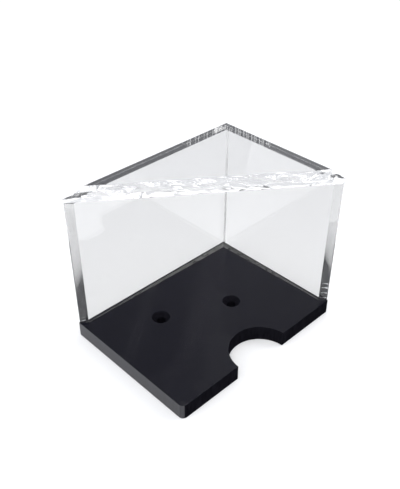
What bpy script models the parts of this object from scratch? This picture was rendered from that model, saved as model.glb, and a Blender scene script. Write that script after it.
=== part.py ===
"""Card discard tray: an L of two clear acrylic walls on a black base, with a clear triangular top.

The tray lies on its underside. The origin is the centre of the underside's outline, +X runs along
the long wall, +Y points at the long wall and +Z is up. The -X and -Y sides are open, and cards
slide in over the finger notch in the -Y edge. Run with: blender --background --python part.py
"""
import math

import bmesh
import bpy
from mathutils import Matrix, Vector

# Driving dimensions, in metres.
BASE_LENGTH = 0.100
BASE_DEPTH = 0.0736
BASE_THICKNESS = 0.008
OVERALL_HEIGHT = 0.080
WALL_THICKNESS = 0.0032
TOP_THICKNESS = 0.004
JOINT_GAP = 0.0003

# The walls are flush with the base and top at the back, and stop short of them at their free ends.
FREE_END_INSET = 0.0005

# The base's corner between its two open sides is the only one that is rounded.
OPEN_CORNER_RADIUS = 0.0025
EDGE_ROUND = 0.0002

# The finger notch is a little less than half a circle, and its centre lies just off the front edge.
NOTCH_RADIUS = 0.0155
NOTCH_CENTRE = Vector((-0.0003, -0.0373))

# Two countersunk screw holes, side by side across the well.
SCREW_HOLES = (Vector((-0.0189, 0.0121)), Vector((0.0144, -0.0035)))
SCREW_HOLE_RADIUS = 0.0022
COUNTERSINK_RADIUS = 0.0044
COUNTERSINK_DEPTH = COUNTERSINK_RADIUS - SCREW_HOLE_RADIUS

# The top plate's long sloping edge has a broad, shallow bevel on its upper side.
FRONT_BEVEL_WIDTH = 0.0064
FRONT_BEVEL_DROP = 0.0009
TIP_RADIUS = 0.0004

# Each wall's free end is bevelled on its inner side, which leaves a narrow flat at the tip.
END_BEVEL_LENGTH = 0.003
END_BEVEL_DEPTH = 0.0026

# Acrylic colours, as linear red, green and blue.
CLEAR_COLOUR = (0.96, 0.97, 0.97)
BLACK_COLOUR = (0.012, 0.012, 0.016)
CLEAR_ROUGHNESS = 0.02
BLACK_ROUGHNESS = 0.08
ACRYLIC_IOR = 1.49

# Facets round a circle or a corner, and how far a cutter runs past the faces that it cuts.
NOTCH_SEGMENTS = 96
HOLE_SEGMENTS = 48
CORNER_SEGMENTS = 8
OVERCUT = 0.002
WELD_DISTANCE = 0.00001
SHARPEST_KEPT_ANGLE = math.radians(60)

# Where the pieces start and end.
HALF_LENGTH = BASE_LENGTH / 2
HALF_DEPTH = BASE_DEPTH / 2
WALL_BOTTOM = BASE_THICKNESS + JOINT_GAP
TOP_BOTTOM = OVERALL_HEIGHT - TOP_THICKNESS
WALL_TOP = TOP_BOTTOM - JOINT_GAP
LONG_WALL_INNER_Y = HALF_DEPTH - WALL_THICKNESS
SHORT_WALL_INNER_X = HALF_LENGTH - WALL_THICKNESS


def clear_scene():
    """Remove every object that the new file came with."""
    for leftover in list(bpy.data.objects):
        bpy.data.objects.remove(leftover, do_unlink=True)


def new_collection(name):
    """Make an empty collection in the scene."""
    collection = bpy.data.collections.new(name)
    bpy.context.scene.collection.children.link(collection)
    return collection


def acrylic(name, colour, roughness, transmission=0.0):
    """A glossy acrylic, clear where transmission is 1."""
    material = bpy.data.materials.new(name)
    material.use_nodes = True
    shader = material.node_tree.nodes["Principled BSDF"]
    shader.inputs["Base Color"].default_value = (*colour, 1.0)
    shader.inputs["Roughness"].default_value = roughness
    shader.inputs["Metallic"].default_value = 0.0
    shader.inputs["IOR"].default_value = ACRYLIC_IOR
    shader.inputs["Transmission Weight"].default_value = transmission
    return material


def mesh_object(name, bm, collection):
    """Turn a bmesh into a named object in a collection."""
    mesh = bpy.data.meshes.new(name)
    bm.to_mesh(mesh)
    bm.free()
    thing = bpy.data.objects.new(name, mesh)
    collection.objects.link(thing)
    return thing


def box(name, low, high, collection):
    """A box between two corners, with its origin in the middle of it."""
    low, high = Vector(low), Vector(high)
    bm = bmesh.new()
    bmesh.ops.create_cube(bm, size=1.0)
    bmesh.ops.scale(bm, vec=high - low, verts=bm.verts)
    thing = mesh_object(name, bm, collection)
    thing.location = (low + high) / 2
    return thing


def turned(name, radius_below, radius_above, centre, bottom, top, segments, collection):
    """An upright cylinder or cone between two heights."""
    bm = bmesh.new()
    bmesh.ops.create_cone(
        bm,
        cap_ends=True,
        segments=segments,
        radius1=radius_below,
        radius2=radius_above,
        depth=top - bottom,
    )
    thing = mesh_object(name, bm, collection)
    thing.location = (centre.x, centre.y, (bottom + top) / 2)
    return thing


def as_cutter(cutter):
    """Show a cutter as a wire and keep it out of renders."""
    cutter.display_type = "WIRE"
    cutter.hide_render = True
    return cutter


def cut(piece, cutter):
    """Take a cutter's volume away from a piece."""
    modifier = piece.modifiers.new("cut " + cutter.name, "BOOLEAN")
    modifier.operation = "DIFFERENCE"
    modifier.solver = "EXACT"
    modifier.object = as_cutter(cutter)


def soften(piece):
    """Break the square edges of a piece by a small round, as flame polishing does."""
    modifier = piece.modifiers.new("polished edges", "BEVEL")
    modifier.width = EDGE_ROUND
    modifier.segments = 2
    modifier.limit_method = "ANGLE"
    modifier.angle_limit = SHARPEST_KEPT_ANGLE


def round_open_corner(base):
    """Round the upright edge where the base's two open sides meet."""
    bm = bmesh.new()
    bm.from_mesh(base.data)
    corner = [
        edge for edge in bm.edges
        if all(vert.co.x < 0 and vert.co.y < 0 for vert in edge.verts)
    ]
    bmesh.ops.bevel(
        bm,
        geom=corner,
        offset=OPEN_CORNER_RADIUS,
        segments=CORNER_SEGMENTS,
        profile=0.5,
        affect="EDGES",
    )
    bm.to_mesh(base.data)
    bm.free()


def make_base(tray, cutters):
    """The black base plate with its finger notch and two countersunk screw holes."""
    low = (-HALF_LENGTH, -HALF_DEPTH, 0.0)
    high = (HALF_LENGTH, HALF_DEPTH, BASE_THICKNESS)
    base = box("base_plate", low, high, tray)
    round_open_corner(base)
    notch = turned(
        "finger notch cutter",
        NOTCH_RADIUS,
        NOTCH_RADIUS,
        NOTCH_CENTRE,
        -OVERCUT,
        BASE_THICKNESS + OVERCUT,
        NOTCH_SEGMENTS,
        cutters,
    )
    cut(base, notch)
    for number, centre in enumerate(SCREW_HOLES, start=1):
        shank = turned(
            f"screw shank cutter {number}",
            SCREW_HOLE_RADIUS,
            SCREW_HOLE_RADIUS,
            centre,
            -OVERCUT,
            BASE_THICKNESS + OVERCUT,
            HOLE_SEGMENTS,
            cutters,
        )
        # The 90 degree head cone runs on above the face by as much as it widens.
        head = turned(
            f"screw head cutter {number}",
            SCREW_HOLE_RADIUS,
            COUNTERSINK_RADIUS + OVERCUT,
            centre,
            BASE_THICKNESS - COUNTERSINK_DEPTH,
            BASE_THICKNESS + OVERCUT,
            HOLE_SEGMENTS,
            cutters,
        )
        cut(base, shank)
        cut(base, head)
    soften(base)
    base.data.materials.append(acrylic("black base acrylic", BLACK_COLOUR, BLACK_ROUGHNESS))


def half_space(name, point, outward, collection):
    """A big slab that fills the space on the outward side of a plane."""
    reach = 2 * BASE_LENGTH
    bm = bmesh.new()
    bmesh.ops.create_cube(bm, size=reach)
    bmesh.ops.translate(bm, vec=(0, 0, reach / 2), verts=bm.verts)
    slab = mesh_object(name, bm, collection)
    turn = Vector(outward).to_track_quat("Z", "Y").to_matrix().to_4x4()
    slab.matrix_world = Matrix.Translation(point) @ turn
    return slab


def make_walls(tray, cutters):
    """The long wall runs the full length, and the short wall butts against its inner face."""
    left = -HALF_LENGTH + FREE_END_INSET
    front = -HALF_DEPTH + FREE_END_INSET
    long_wall = box(
        "long_wall",
        (left, LONG_WALL_INNER_Y, WALL_BOTTOM),
        (HALF_LENGTH, HALF_DEPTH, WALL_TOP),
        tray,
    )
    short_wall = box(
        "short_wall",
        (SHORT_WALL_INNER_X, front, WALL_BOTTOM),
        (HALF_LENGTH, LONG_WALL_INNER_Y - JOINT_GAP, WALL_TOP),
        tray,
    )
    long_wall_bevel = half_space(
        "long wall end bevel cutter",
        Vector((left + END_BEVEL_LENGTH, LONG_WALL_INNER_Y, 0)),
        Vector((-END_BEVEL_DEPTH, -END_BEVEL_LENGTH, 0)),
        cutters,
    )
    short_wall_bevel = half_space(
        "short wall end bevel cutter",
        Vector((SHORT_WALL_INNER_X, front + END_BEVEL_LENGTH, 0)),
        Vector((-END_BEVEL_LENGTH, -END_BEVEL_DEPTH, 0)),
        cutters,
    )
    cut(long_wall, long_wall_bevel)
    cut(short_wall, short_wall_bevel)
    for wall in (long_wall, short_wall):
        soften(wall)
        clear = acrylic(wall.name + " clear acrylic", CLEAR_COLOUR, CLEAR_ROUGHNESS, transmission=1.0)
        wall.data.materials.append(clear)


def rounded_outline(corners, radius):
    """The points of a closed convex outline whose corners are arcs."""
    points = []
    for index, corner in enumerate(corners):
        to_last = (corners[index - 1] - corner).normalized()
        to_next = (corners[(index + 1) % len(corners)] - corner).normalized()
        half_angle = to_last.angle(to_next) / 2
        centre = corner + (to_last + to_next).normalized() * radius / math.sin(half_angle)
        first = corner + to_last * radius / math.tan(half_angle) - centre
        sweep = first.angle_signed(corner + to_next * radius / math.tan(half_angle) - centre)
        for step in range(CORNER_SEGMENTS + 1):
            turn = Matrix.Rotation(-sweep * step / CORNER_SEGMENTS, 2)
            points.append(centre + turn @ first)
    return points


def flat_piece(name, outline, bottom, top, collection):
    """An outline extruded upwards, as a closed mesh."""
    curve = bpy.data.curves.new(name + " outline", "CURVE")
    curve.dimensions = "2D"
    curve.fill_mode = "BOTH"
    curve.extrude = (top - bottom) / 2
    spline = curve.splines.new("POLY")
    spline.points.add(len(outline) - 1)
    for point, place in zip(spline.points, outline):
        point.co = (place.x, place.y, 0, 1)
    spline.use_cyclic_u = True
    drawn = bpy.data.objects.new(name + " outline", curve)
    drawn.location.z = (bottom + top) / 2
    collection.objects.link(drawn)
    bpy.context.view_layer.update()
    evaluated = drawn.evaluated_get(bpy.context.evaluated_depsgraph_get())
    mesh = bpy.data.meshes.new_from_object(evaluated)
    mesh.name = name
    bm = bmesh.new()
    bm.from_mesh(mesh)
    bmesh.ops.remove_doubles(bm, verts=bm.verts, dist=WELD_DISTANCE)
    bm.to_mesh(mesh)
    bm.free()
    piece = bpy.data.objects.new(name, mesh)
    piece.matrix_world = drawn.matrix_world
    collection.objects.link(piece)
    bpy.data.objects.remove(drawn, do_unlink=True)
    return piece


def make_top(tray, cutters):
    """The clear triangular top, whose long edge joins the free ends of the two walls."""
    long_wall_end = Vector((-HALF_LENGTH, HALF_DEPTH))
    short_wall_end = Vector((HALF_LENGTH, -HALF_DEPTH))
    back_corner = Vector((HALF_LENGTH, HALF_DEPTH))
    outline = rounded_outline((long_wall_end, short_wall_end, back_corner), TIP_RADIUS)
    top = flat_piece("top_plate", outline, TOP_BOTTOM, OVERALL_HEIGHT, tray)
    # The bevel's plane rises inwards from the sloping edge, which passes through the middle.
    outward = Vector((-BASE_DEPTH, -BASE_LENGTH, 0)).normalized()
    bevel_start = Vector((0, 0, OVERALL_HEIGHT)) - FRONT_BEVEL_WIDTH * outward
    bevel_normal = Vector((0, 0, FRONT_BEVEL_WIDTH)) + FRONT_BEVEL_DROP * outward
    cut(top, half_space("front bevel cutter", bevel_start, bevel_normal, cutters))
    soften(top)
    clear = acrylic("top clear acrylic", CLEAR_COLOUR, CLEAR_ROUGHNESS, transmission=1.0)
    top.data.materials.append(clear)


def main():
    clear_scene()
    tray = new_collection("card_discard_tray")
    cutters = new_collection("cutters")
    make_base(tray, cutters)
    make_walls(tray, cutters)
    make_top(tray, cutters)


main()
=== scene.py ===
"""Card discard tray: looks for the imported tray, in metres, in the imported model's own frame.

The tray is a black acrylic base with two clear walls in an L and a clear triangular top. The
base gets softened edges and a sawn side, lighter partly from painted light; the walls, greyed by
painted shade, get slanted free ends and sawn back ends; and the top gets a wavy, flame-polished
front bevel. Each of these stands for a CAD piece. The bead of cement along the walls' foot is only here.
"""
import math

import bmesh
import bpy
from mathutils import Matrix, Vector, noise


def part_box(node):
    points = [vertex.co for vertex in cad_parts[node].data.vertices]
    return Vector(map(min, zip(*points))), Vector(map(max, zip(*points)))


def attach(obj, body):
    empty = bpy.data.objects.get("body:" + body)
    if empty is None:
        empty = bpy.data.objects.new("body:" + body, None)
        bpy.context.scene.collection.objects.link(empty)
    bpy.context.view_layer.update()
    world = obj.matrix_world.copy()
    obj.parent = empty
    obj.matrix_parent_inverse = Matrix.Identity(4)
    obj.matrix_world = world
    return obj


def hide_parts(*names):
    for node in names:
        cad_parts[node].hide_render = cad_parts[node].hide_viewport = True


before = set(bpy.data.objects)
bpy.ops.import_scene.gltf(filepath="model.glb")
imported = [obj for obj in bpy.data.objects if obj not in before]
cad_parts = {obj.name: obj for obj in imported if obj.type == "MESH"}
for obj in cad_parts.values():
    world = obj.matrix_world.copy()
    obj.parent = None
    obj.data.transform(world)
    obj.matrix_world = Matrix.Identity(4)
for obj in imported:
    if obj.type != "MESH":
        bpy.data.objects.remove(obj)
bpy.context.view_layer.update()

# The pieces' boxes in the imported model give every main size.
BASE_LOW, BASE_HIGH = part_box("base_plate")
LONG_LOW, LONG_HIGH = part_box("long_wall")
SHORT_LOW, SHORT_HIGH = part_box("short_wall")
TOP_LOW, TOP_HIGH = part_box("top_plate")
BASE_TOP = BASE_HIGH.z
WALL = LONG_HIGH.y - LONG_LOW.y

# Real joints have no thickness, so the walls reach nearly to the base and the top.
JOINT_FILM = 0.00005

# Base.
OPEN_CORNER_RADIUS = 0.0025
NOTCH_RADIUS = 0.0155
NOTCH_CENTRE = Vector((-0.0003, -0.0373))
SCREW_HOLES = (Vector((-0.0189, 0.0121)), Vector((0.0144, -0.0035)))
SCREW_HOLE_RADIUS = 0.0022
COUNTERSINK_RADIUS = 0.0044
COUNTERSINK_DEPTH = COUNTERSINK_RADIUS - SCREW_HOLE_RADIUS
EDGE_ROUND = 0.00025
OVERCUT = 0.002

# Free ends of the walls: cut at a slant that leaves a narrow tip.
END_TIP = 0.0006
END_STEPS = 8
CUT_LENGTH = 0.0030
# The walls' levels crowd towards the foot, where the marks on the cuts are.
WALL_LEVELS = 96
LEVEL_CROWDING = 1.6
# The long wall's cut is sanded near the foot, and the short wall's has level nicks there.
SANDED_HEIGHT = 0.020
SANDED_DEPTH = 0.0003
SANDING_PER_METRE = 900
NICKS = (0.0012, 0.0042, 0.0074, 0.0098)
NICK_DEPTH = 0.00045
NICK_WIDTH = 0.00022

# Back ends of the walls: upright saw ridges on the long wall's, and frosted stripes above a height.
RIDGES = 15
RIDGE_DEPTH = 0.00008
SAWN_ABOVE = 0.018
# The solvent weld between the walls, measured from their inner corner.
WELD_WIDTH = 0.0021

# Cement that squeezed out along the walls' inner foot, widest at the back corner.
SEAM_WIDTH = 0.0023
SEAM_HEIGHT = 0.0013
SEAM_THIN_END = 0.12
SEAM_THINNING = 1.2
SEAM_UNEVENNESS = 0.12
SEAM_STEPS = 60
# Its section as shares of its width and height: a concave fillet.
SEAM_SECTION = ((0, 0), (1, 0), (0.55, 0.16), (0.28, 0.34), (0.1, 0.62), (0, 1))

# Front bevel of the top.
BEVEL_WIDTH = 0.0064
BEVEL_DROP = 0.0009
GRID_STEP = 0.0005
WAVE_HEIGHT = 0.0022
# The waves fade out over the inner third of the bevel.
WAVE_FADE = 3
# Shares of the wave height: broad swells, and creases that narrow by a factor.
SWELL_SHARE = 0.6
CREASE_SHARE = 0.4
CREASE_NARROWING = 2.2
# Two melted pits in it, as (along the long edge, in from that edge).
PITS = ((0.0286, 0.0016), (0.1060, 0.0022))
PIT_DEPTH = 0.0009
PIT_RADIUS = 0.0012

# Floor.
FLOOR_SIZE = 3
FLOOR_GAP = 0.0002
FLOOR_COLOUR = (0.96, 0.96, 0.96, 1)

# Light: an even surround, and softboxes as (name, place, target, size, power).
WORLD_COLOUR = (0.93, 0.95, 1.0, 1)
WORLD_STRENGTH = 0.62
SOFTBOXES = (
    ("open side", (-1.2, -1.2, 3.2), (0.15, 0.15, 0), 2.6, 73.0),
    ("back", (1.98, 0.96, 2.0), (0, 0, 0), 1.4, 1.6),
    ("right", (1.4, -0.7, 1.3), (0.3, 0, 0), 1.0, 8.5),
    ("left", (-1.2, 0.3, 0.5), (0, 0, 0.02), 0.8, 5.0),
    ("front", (-1.7, -1.7, 0.9), (0, 0, 0.05), 2.6, 4.0),
)
# Light runs far inside clear sheet by total internal reflection, so it needs many bounces.
BOUNCES = 64

ACRYLIC_IOR = 1.49
# The wall and cut tints are darker than real clear sheet: the extra grey is painted shade. They are fitted
# to the photo's tones.
WALL_SHADE_TINT = (0.75, 0.75, 0.75)
TOP_TINT = (0.99, 0.99, 0.99)
CUT_SHADE_TINT = (0.60, 0.60, 0.60)

CAMERA_PLACE = Vector((-0.1768, -0.1776, 0.2302))
CAMERA_TARGET = Vector((0.0445, 0.0501, 0.0))
CAMERA_ROLL = math.radians(0.09)
CAMERA_LENS = 49.65

# Where each finish sits in the walls' and the base's lists of materials.
WALL_SAWN, WALL_CUT, WALL_WELD, WALL_UNDERSIDE = 1, 2, 3, 4
BASE_SAWN_PAINTED_LIGHT, BASE_ROUTED = 1, 2


def new_material(name):
    """A node material with its Principled shader."""
    material = bpy.data.materials.new(name)
    material.use_nodes = True
    return material, material.node_tree, material.node_tree.nodes["Principled BSDF"]


def set_inputs(shader, **values):
    """Set constant values on a shader's own sockets, with _ for a space in their names."""
    for name, value in values.items():
        shader.inputs[name.replace("_", " ")].default_value = value


def add_noise(tree, scale, detail=3.0, stretch=(1, 1, 1)):
    """A noise texture in object space, stretched along the axes."""
    place = tree.nodes.new("ShaderNodeTexCoord")
    mapping = tree.nodes.new("ShaderNodeMapping")
    mapping.inputs["Scale"].default_value = stretch
    texture = tree.nodes.new("ShaderNodeTexNoise")
    texture.inputs["Scale"].default_value = scale
    texture.inputs["Detail"].default_value = detail
    tree.links.new(place.outputs["Object"], mapping.inputs["Vector"])
    tree.links.new(mapping.outputs["Vector"], texture.inputs["Vector"])
    return texture


def add_ramp(tree, source, low, high, start=0.35, end=0.65):
    """Map a noise onto grey values or colours between two stops."""
    ramp = tree.nodes.new("ShaderNodeValToRGB")
    ramp.color_ramp.elements[0].position = start
    ramp.color_ramp.elements[1].position = end
    ramp.color_ramp.elements[0].color = (*low, 1)
    ramp.color_ramp.elements[1].color = (*high, 1)
    tree.links.new(source.outputs["Fac"], ramp.inputs["Fac"])
    return ramp


def add_bump(tree, shader, source, strength, distance):
    """Bump from a height texture."""
    bump = tree.nodes.new("ShaderNodeBump")
    bump.inputs["Strength"].default_value = strength
    bump.inputs["Distance"].default_value = distance
    tree.links.new(source.outputs["Fac"], bump.inputs["Height"])
    tree.links.new(bump.outputs["Normal"], shader.inputs["Normal"])


def grey(value):
    """A colour with no hue."""
    return (value, value, value)


def clear_acrylic(name, tint):
    """Polished clear sheet, with faint handling marks in its gloss."""
    material, tree, shader = new_material(name)
    # On the walls, the tint is painted shade that greys the sheet.
    set_inputs(shader, Base_Color=(*tint, 1), IOR=ACRYLIC_IOR, Transmission_Weight=1.0)
    marks = add_noise(tree, 90, 4)
    ramp = add_ramp(tree, marks, grey(0.0), grey(0.015))
    tree.links.new(ramp.outputs["Color"], shader.inputs["Roughness"])
    return material


def sawn_clear():
    """Sawn clear sheet: upright stripes that are polished or frosted."""
    material, tree, shader = new_material("sawn clear acrylic")
    # The base colour is the walls' tint, which is painted shade.
    set_inputs(shader, Base_Color=(*WALL_SHADE_TINT, 1), IOR=ACRYLIC_IOR, Transmission_Weight=1.0)
    stripes = add_noise(tree, 1300, 2, (1, 1, 0.004))
    haze = add_ramp(tree, stripes, grey(0.0), grey(0.85), 0.48, 0.52)
    tree.links.new(haze.outputs["Color"], shader.inputs["Roughness"])
    return material


def cut_clear_painted_shade():
    """The slanted cut on the walls' free ends: a little hazy, and greyer from painted shade."""
    material, tree, shader = new_material("sanded clear acrylic with painted shade")
    # The cut's grey colour is painted shade.
    set_inputs(shader, Base_Color=(*CUT_SHADE_TINT, 1), IOR=ACRYLIC_IOR, Transmission_Weight=1.0)
    marks = add_noise(tree, 700, 3, (1, 1, 0.2))
    haze = add_ramp(tree, marks, grey(0.0), grey(0.10))
    tree.links.new(haze.outputs["Color"], shader.inputs["Roughness"])
    return material


def welded_clear():
    """Where the walls are welded together by solvent: light runs straight through."""
    material, tree, shader = new_material("welded clear acrylic")
    set_inputs(shader, IOR=1.0, Transmission_Weight=1.0, Roughness=0.0)
    marks = add_noise(tree, 500, 2)
    tint = add_ramp(tree, marks, grey(0.99), grey(1.0))
    tree.links.new(tint.outputs["Color"], shader.inputs["Base Color"])
    return material


def dried_cement():
    """Set solvent cement over the black base: dark and cloudy, with a glossy skin."""
    material, tree, shader = new_material("dried cement")
    set_inputs(shader, IOR=ACRYLIC_IOR, Coat_Weight=0.5)
    cloud = add_noise(tree, 450, 3)
    colour = add_ramp(tree, cloud, grey(0.015), grey(0.05))
    tree.links.new(colour.outputs["Color"], shader.inputs["Base Color"])
    haze = add_ramp(tree, cloud, grey(0.25), grey(0.45))
    tree.links.new(haze.outputs["Color"], shader.inputs["Roughness"])
    return material


def black_acrylic():
    """Polished black sheet with specks of dust and a faint haze in its gloss."""
    material, tree, shader = new_material("black acrylic")
    set_inputs(shader, IOR=ACRYLIC_IOR, Specular_IOR_Level=0.24)
    dust = add_noise(tree, 1100, 2)
    colour = add_ramp(tree, dust, (0.0042, 0.0040, 0.0080), (0.09, 0.09, 0.10), 0.85, 0.88)
    tree.links.new(colour.outputs["Color"], shader.inputs["Base Color"])
    haze = add_noise(tree, 60, 3)
    ramp = add_ramp(tree, haze, grey(0.05), grey(0.11))
    tree.links.new(ramp.outputs["Color"], shader.inputs["Roughness"])
    return material


def sawn_black_painted_light():
    """The sawn side: duller than the polished face, and lighter, partly from its sawn finish and partly
    from painted light on the side that faces the light.
    """
    material, tree, shader = new_material("sawn black acrylic with painted light")
    set_inputs(shader, IOR=ACRYLIC_IOR, Specular_IOR_Level=0.3)
    marks = add_noise(tree, 900, 3, (1, 1, 0.1))
    # The lighter grey is partly the sawn finish and partly painted light.
    colour = add_ramp(tree, marks, (0.020, 0.020, 0.024), (0.038, 0.038, 0.045))
    tree.links.new(colour.outputs["Color"], shader.inputs["Base Color"])
    haze = add_ramp(tree, marks, grey(0.32), grey(0.42))
    tree.links.new(haze.outputs["Color"], shader.inputs["Roughness"])
    add_bump(tree, shader, marks, 0.15, 0.00004)
    return material


def routed_black():
    """All that isn't the polished face or the sawn side: dark and nearly matt."""
    material, tree, shader = new_material("machined black acrylic")
    set_inputs(shader, IOR=ACRYLIC_IOR, Specular_IOR_Level=0.0)
    marks = add_noise(tree, 1100, 3, (1, 1, 0.15))
    colour = add_ramp(tree, marks, (0.0040, 0.0038, 0.0055), (0.0085, 0.0082, 0.0110))
    tree.links.new(colour.outputs["Color"], shader.inputs["Base Color"])
    haze = add_ramp(tree, marks, grey(0.25), grey(0.38))
    tree.links.new(haze.outputs["Color"], shader.inputs["Roughness"])
    add_bump(tree, shader, marks, 0.12, 0.00004)
    return material


def add_object(name, bm):
    """A named mesh object from a bmesh."""
    mesh = bpy.data.meshes.new(name)
    bm.to_mesh(mesh)
    bm.free()
    piece = bpy.data.objects.new(name, mesh)
    bpy.context.scene.collection.objects.link(piece)
    return piece


def extruded(name, outline, bottom, top):
    """An upright solid on a plan outline that runs anticlockwise."""
    bm = bmesh.new()
    verts = [bm.verts.new((x, y, bottom)) for x, y in outline]
    face = bm.faces.new(verts)
    grown = bmesh.ops.extrude_face_region(bm, geom=[face])["geom"]
    for item in grown:
        if isinstance(item, bmesh.types.BMVert):
            item.co.z = top
    bmesh.ops.recalc_face_normals(bm, faces=bm.faces)
    return add_object(name, bm)


def arc(centre, radius, start, end, steps):
    """Points along an arc, with both of its ends."""
    turns = [start + (end - start) * step / steps for step in range(steps + 1)]
    return [(centre[0] + radius * math.cos(a), centre[1] + radius * math.sin(a)) for a in turns]


def apply_modifiers(piece):
    """Replace a piece's mesh by what its modifiers make."""
    evaluated = piece.evaluated_get(bpy.context.evaluated_depsgraph_get())
    mesh = bpy.data.meshes.new_from_object(evaluated)
    piece.modifiers.clear()
    piece.data = mesh


def soften(piece, width, segments=3, angle=40):
    """Round the sharp edges, and shade the piece smooth except at what stays sharp."""
    bevel = piece.modifiers.new("polished edges", "BEVEL")
    bevel.width = width
    bevel.segments = segments
    bevel.limit_method = "ANGLE"
    bevel.angle_limit = math.radians(angle)
    bevel.harden_normals = True
    for polygon in piece.data.polygons:
        polygon.use_smooth = True


def stand_for(piece, node):
    """Put a piece on the tray in the place of a CAD piece."""
    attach(piece, "root")
    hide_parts(node)


def base_outline():
    """The base in plan, from its rounded open corner round to the notch and back."""
    x0, y0 = BASE_LOW.x, BASE_LOW.y
    radius = OPEN_CORNER_RADIUS
    corner = arc((x0 + radius, y0 + radius), radius, math.pi, 1.5 * math.pi, 10)
    edge_angle = math.asin((y0 - NOTCH_CENTRE.y) / NOTCH_RADIUS)
    notch = arc(NOTCH_CENTRE, NOTCH_RADIUS, math.pi - edge_angle, edge_angle, 96)
    back = [(BASE_HIGH.x, y0), (BASE_HIGH.x, BASE_HIGH.y), (x0, BASE_HIGH.y)]
    return corner + notch + back


def cone(name, centre, radius_below, radius_above, bottom, top):
    """A hidden round cutter."""
    bm = bmesh.new()
    bmesh.ops.create_cone(
        bm, cap_ends=True, segments=64, radius1=radius_below, radius2=radius_above, depth=top - bottom
    )
    bmesh.ops.translate(bm, vec=(centre.x, centre.y, (bottom + top) / 2), verts=bm.verts)
    return add_object(name, bm)


def make_base(polished, sawn, routed):
    """The black base with its notch and two countersunk holes."""
    base = extruded("base", base_outline(), BASE_LOW.z, BASE_TOP)
    cutters = []
    for centre in SCREW_HOLES:
        head_bottom = BASE_TOP - COUNTERSINK_DEPTH
        cutters.append(cone("shank", centre, SCREW_HOLE_RADIUS, SCREW_HOLE_RADIUS, -OVERCUT, BASE_TOP))
        cutters.append(
            cone(
                "head", centre, SCREW_HOLE_RADIUS, COUNTERSINK_RADIUS + OVERCUT,
                head_bottom, BASE_TOP + OVERCUT,
            )
        )
    for cutter in cutters:
        cut = base.modifiers.new("cut", "BOOLEAN")
        cut.solver = "EXACT"
        cut.object = cutter
    apply_modifiers(base)
    for cutter in cutters:
        bpy.data.objects.remove(cutter, do_unlink=True)
    base.data.materials.clear()
    for finish in (polished, sawn, routed):
        base.data.materials.append(finish)
    for polygon in base.data.polygons:
        # The left side, which faces the light, gets the sawn finish, whose lighter grey is partly painted
        # light.
        if polygon.normal.x < -0.5 and polygon.center.x < BASE_LOW.x + OPEN_CORNER_RADIUS:
            polygon.material_index = BASE_SAWN_PAINTED_LIGHT
        elif polygon.normal.z < 0.9:
            polygon.material_index = BASE_ROUTED
    soften(base, EDGE_ROUND)
    stand_for(base, "base_plate")


def lofted(name, outlines, heights):
    """An upright solid whose plan outline changes from level to level."""
    bm = bmesh.new()
    rings = [
        [bm.verts.new((x, y, z)) for x, y in outline] for outline, z in zip(outlines, heights)
    ]
    for lower, upper in zip(rings, rings[1:]):
        for index in range(len(lower)):
            after = (index + 1) % len(lower)
            bm.faces.new((lower[index], lower[after], upper[after], upper[index]))
    bm.faces.new(rings[0][::-1])
    bm.faces.new(rings[-1])
    bmesh.ops.recalc_face_normals(bm, faces=bm.faces)
    return add_object(name, bm)


def sanded(height, share):
    """Faint unevenness of the cut, close to the foot."""
    fade = max(0.0, 1 - height / SANDED_HEIGHT)
    return SANDED_DEPTH * fade * noise.noise(Vector((height * SANDING_PER_METRE, share * 5, 5.0)))


def nicked(height, _share):
    """Level nicks left by the saw, just above the foot."""
    return sum(NICK_DEPTH * math.exp(-(((height - place) / NICK_WIDTH) ** 2)) for place in NICKS)


def free_end(height, marks):
    """The slanted cut at a height, as (along the wall, off the inner face). Its marks fade at the sides."""
    points = []
    for step in range(END_STEPS + 1):
        share = step / END_STEPS
        dent = marks(height, share) * math.sin(math.pi * share)
        points.append((CUT_LENGTH * (1 - share) + dent, (WALL - END_TIP) * share))
    return points


def ridge_depths(seed):
    """How deep each upright saw ridge is, from one side of the wall to the other."""
    return [
        RIDGE_DEPTH * abs(2 * noise.noise(Vector((index * 0.77, seed, 0.3)))) for index in range(RIDGES)
    ]


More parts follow.
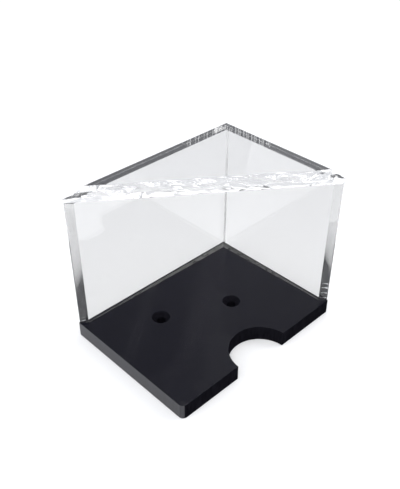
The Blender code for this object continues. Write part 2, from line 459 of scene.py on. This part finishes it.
def make_walls(finishes):
    """The two walls: slanted free ends, and sawn ends at the back corner."""
    bottom = BASE_TOP + JOINT_FILM
    top = TOP_LOW.z - JOINT_FILM
    shares = [(level / WALL_LEVELS) ** LEVEL_CROWDING for level in range(WALL_LEVELS + 1)]
    heights = [bottom + (top - bottom) * share for share in shares]
    left, right = LONG_LOW.x, LONG_HIGH.x
    inner, outer = LONG_LOW.y, LONG_HIGH.y
    long_ridges = [
        (right - depth, inner + WALL * (index + 1) / (RIDGES + 1))
        for index, depth in enumerate(ridge_depths(1.0))
    ]
    long_outlines, short_outlines = [], []
    for height in heights:
        cut = [(left + along, inner + off) for along, off in free_end(height - bottom, sanded)]
        long_outlines.append(
            [(right, outer), (left, outer)] + cut[::-1]
            + [(SHORT_LOW.x, inner), (SHORT_LOW.x + WELD_WIDTH, inner), (right, inner)] + long_ridges
        )
        cut = [
            (SHORT_LOW.x + off, SHORT_LOW.y + along)
            for along, off in free_end(height - bottom, nicked)
        ]
        short_outlines.append(
            [(right, inner - JOINT_FILM), (SHORT_LOW.x + WELD_WIDTH, inner - JOINT_FILM)]
            + [(SHORT_LOW.x, inner - JOINT_FILM)] + cut + [(right, SHORT_LOW.y)]
        )
    for name, outlines, node, back in (
        ("wall_long", long_outlines, "long_wall", Vector((1, 0, 0))),
        ("wall_short", short_outlines, "short_wall", Vector((0, 1, 0))),
    ):
        wall = lofted(name, outlines, heights)
        for finish in finishes:
            wall.data.materials.append(finish)
        for polygon in wall.data.polygons:
            polygon.use_smooth = True
            facing = back.dot(polygon.normal)
            beside = SHORT_LOW.x < polygon.center.x < SHORT_LOW.x + WELD_WIDTH
            at_joint = abs(polygon.center.y - inner) < 2 * JOINT_FILM
            if abs(polygon.normal.y) > 0.9 and beside and at_joint:
                polygon.material_index = WALL_WELD
            elif polygon.normal.z < -0.9:
                polygon.material_index = WALL_UNDERSIDE
            elif facing > 0.5 and polygon.center.z > SAWN_ABOVE:
                polygon.material_index = WALL_SAWN
            elif facing < -0.2:
                polygon.material_index = WALL_CUT
        wall.data.set_sharp_from_angle(angle=math.radians(25))
        wall.visible_shadow = False
        stand_for(wall, node)


def make_seam(cement):
    """A bead of cement along the inner foot of each wall, as a concave fillet that thins out."""
    foot_y, foot_x = LONG_LOW.y - JOINT_FILM, SHORT_LOW.x - JOINT_FILM
    end_x, end_y = LONG_LOW.x + CUT_LENGTH, SHORT_LOW.y + CUT_LENGTH
    rings = []
    for step in range(-SEAM_STEPS, SEAM_STEPS + 1):
        share = abs(step) / SEAM_STEPS
        size = SEAM_THIN_END + (1 - SEAM_THIN_END) * (1 - share) ** SEAM_THINNING
        size *= 1 + SEAM_UNEVENNESS * noise.noise(Vector((step * 0.35, 2.0, 0)))
        ring = []
        for out, up in SEAM_SECTION:
            drop = SEAM_WIDTH * size * out
            if step < 0:
                place = (foot_x + (end_x - foot_x) * share, foot_y - drop)
            elif step > 0:
                place = (foot_x - drop, foot_y + (end_y - foot_y) * share)
            else:
                place = (foot_x - drop, foot_y - drop)
            if step < 0:
                place = (min(place[0], foot_x - drop), place[1])
            if step > 0:
                place = (place[0], min(place[1], foot_y - drop))
            ring.append((*place, BASE_TOP + JOINT_FILM / 2 + SEAM_HEIGHT * size * up))
        rings.append(ring)
    bm = bmesh.new()
    loops = [[bm.verts.new(point) for point in ring] for ring in rings]
    for one, other in zip(loops, loops[1:]):
        for index in range(len(one)):
            after = (index + 1) % len(one)
            bm.faces.new((one[index], one[after], other[after], other[index]))
    bm.faces.new(loops[0])
    bm.faces.new(loops[-1][::-1])
    bmesh.ops.recalc_face_normals(bm, faces=bm.faces)
    seam = add_object("cement_seam", bm)
    seam.data.materials.append(cement)
    seam.visible_shadow = False
    for polygon in seam.data.polygons:
        polygon.use_smooth = True
    seam.data.set_sharp_from_angle(angle=math.radians(50))
    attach(seam, "root")


def slice_mesh(bm, point, normal):
    """Add an edge loop where a plane crosses the mesh."""
    bmesh.ops.bisect_plane(
        bm, geom=bm.verts[:] + bm.edges[:] + bm.faces[:], dist=1e-7, plane_co=point, plane_no=normal
    )


def flame_waves(along, inward):
    """How deep the melted waves and pits on the front bevel are, in metres."""
    drift = noise.noise(Vector((along * 40, inward * 60, 3.1)))
    broad = noise.noise(Vector((along * 80 - inward * 120 + drift, inward * 150, 7.7)))
    fold = noise.noise(Vector((along * 60 + inward * 150, drift, 1.3)))
    crease = 1 - min(1.0, CREASE_NARROWING * abs(fold))
    depth = WAVE_HEIGHT * (SWELL_SHARE * abs(broad) + CREASE_SHARE * crease)
    for place, inset in PITS:
        away = math.hypot(along - place, inward - inset) / PIT_RADIUS
        depth += PIT_DEPTH * math.exp(-away ** 2)
    return depth


def make_top(clear):
    """The triangular top, with a wavy bevel along its long edge."""
    tip_left = Vector((BASE_LOW.x, BASE_HIGH.y, 0))
    tip_right = Vector((BASE_HIGH.x, BASE_LOW.y, 0))
    corner = (BASE_HIGH.x, BASE_HIGH.y)
    outline = [tuple(tip_left[:2]), tuple(tip_right[:2]), corner]
    top = extruded("top", outline, TOP_LOW.z, TOP_HIGH.z)
    along = (tip_right - tip_left).normalized()
    inward = Vector((-along.y, along.x, 0))
    length = (tip_right - tip_left).length
    bm = bmesh.new()
    bm.from_mesh(top.data)
    for step in range(1, int(BEVEL_WIDTH / GRID_STEP) + 4):
        slice_mesh(bm, tip_left + inward * GRID_STEP * step, inward)
    for step in range(1, int(length / (2 * GRID_STEP))):
        slice_mesh(bm, tip_left + along * 2 * GRID_STEP * step, along)
    for vert in bm.verts:
        from_edge = (vert.co - tip_left).dot(inward)
        place = (vert.co - tip_left).dot(along)
        if vert.co.z < TOP_HIGH.z - 1e-6 or from_edge > BEVEL_WIDTH:
            continue
        share = 1 - from_edge / BEVEL_WIDTH
        wave = flame_waves(place, from_edge) * min(1.0, share * WAVE_FADE)
        vert.co.z -= BEVEL_DROP * share + wave
    bm.to_mesh(top.data)
    bm.free()
    for polygon in top.data.polygons:
        polygon.use_smooth = True
    top.data.set_sharp_from_angle(angle=math.radians(35))
    top.data.materials.append(clear)
    top.visible_shadow = False
    stand_for(top, "top_plate")


def make_floor():
    """A plain pale floor, which isn't part of the tray."""
    bm = bmesh.new()
    bmesh.ops.create_grid(bm, x_segments=1, y_segments=1, size=FLOOR_SIZE)
    floor = add_object("floor", bm)
    floor.location.z = BASE_LOW.z - FLOOR_GAP
    material, _, shader = new_material("pale floor")
    set_inputs(shader, Base_Color=FLOOR_COLOUR, Roughness=0.9)
    floor.data.materials.append(material)


def add_softbox(name, place, target, size, power):
    """A square area light aimed at a point."""
    light = bpy.data.lights.new(name, "AREA")
    light.shape = "SQUARE"
    light.size = size
    light.energy = power
    lamp = bpy.data.objects.new(name, light)
    lamp.location = place
    lamp.rotation_euler = (Vector(target) - Vector(place)).to_track_quat("-Z", "Y").to_euler()
    bpy.context.scene.collection.objects.link(lamp)


def light_scene():
    """Soft light from large softboxes, in an even surround."""
    world = bpy.data.worlds.new("surround")
    world.use_nodes = True
    background = world.node_tree.nodes["Background"]
    background.inputs["Color"].default_value = WORLD_COLOUR
    background.inputs["Strength"].default_value = WORLD_STRENGTH
    bpy.context.scene.world = world
    for softbox in SOFTBOXES:
        add_softbox(*softbox)
    bpy.context.scene.view_settings.view_transform = "Standard"
    bpy.context.scene.cycles.max_bounces = BOUNCES
    bpy.context.scene.cycles.transmission_bounces = BOUNCES
    bpy.context.scene.cycles.glossy_bounces = BOUNCES


def add_camera():
    """The camera, above the open corner and looking down at the back corner."""
    data = bpy.data.cameras.new("camera")
    data.lens = CAMERA_LENS
    data.clip_start = 0.01
    camera = bpy.data.objects.new("camera", data)
    aim = (CAMERA_TARGET - CAMERA_PLACE).to_track_quat("-Z", "Y").to_matrix().to_4x4()
    camera.matrix_world = Matrix.Translation(CAMERA_PLACE) @ aim @ Matrix.Rotation(CAMERA_ROLL, 4, "Z")
    bpy.context.scene.collection.objects.link(camera)
    bpy.context.scene.camera = camera


add_camera()
light_scene()
make_floor()
clear_wall = clear_acrylic("clear wall sheet", WALL_SHADE_TINT)
black = black_acrylic()
make_base(black, sawn_black_painted_light(), routed_black())
make_walls((clear_wall, sawn_clear(), cut_clear_painted_shade(), welded_clear(), black))
make_seam(dried_cement())
make_top(clear_acrylic("clear top sheet", TOP_TINT))

bpy.context.view_layer.update()
